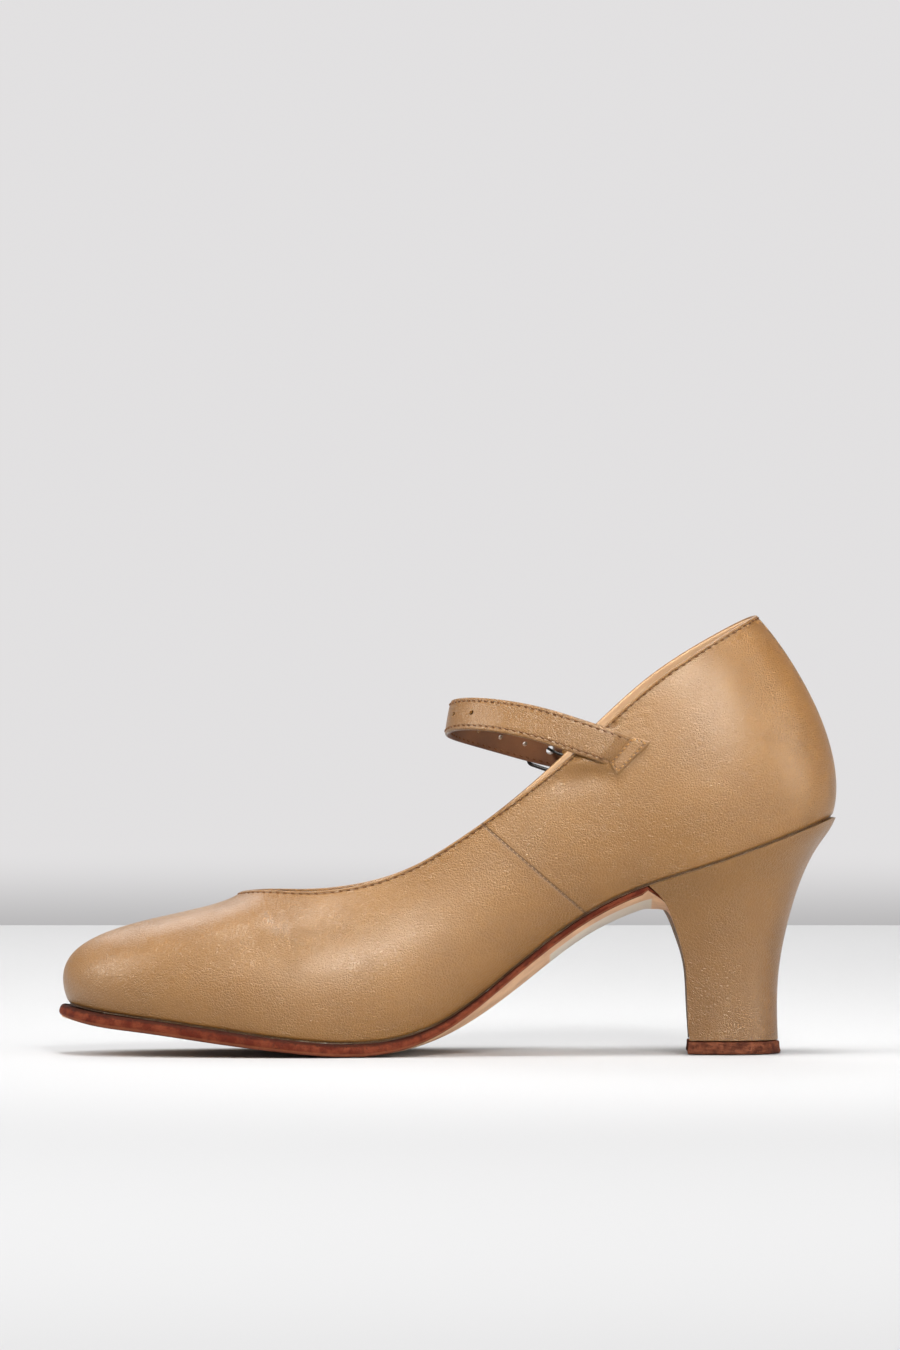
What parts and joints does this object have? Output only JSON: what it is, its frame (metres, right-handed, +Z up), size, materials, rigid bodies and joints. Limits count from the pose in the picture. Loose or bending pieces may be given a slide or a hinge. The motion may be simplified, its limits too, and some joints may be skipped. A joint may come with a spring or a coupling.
{
  "type": "character shoe",
  "caption": "Tan leather character shoe for the right foot, with a rounded toe, an instep strap on a small buckle, a leather sole and a covered curved heel.",
  "frame": {"origin": "on the floor, at the centre of the shoe's bounding box in plan", "axes": "+X towards the toe, +Y towards the medial side of the right foot, +Z up"},
  "size_m": [0.2426, 0.0819, 0.1369],
  "materials": {
    "tan_leather": "smooth tan leather with a fine grain and a soft sheen",
    "lining": "plain matt lining leather",
    "sole_leather": "reddish brown stained leather edge, rough",
    "dark_metal": "blackened metal wire"
  },
  "bodies": {
    "root": {"upper": "tan_leather", "insole": "lining", "outsole": "sole_leather", "heel": "tan_leather", "top_lift": "sole_leather", "strap": "tan_leather", "strap_anchor": "tan_leather", "buckle_frame": "dark_metal", "buckle_prong": "dark_metal", "buckle_tab": "tan_leather"}
  },
  "joints": []
}
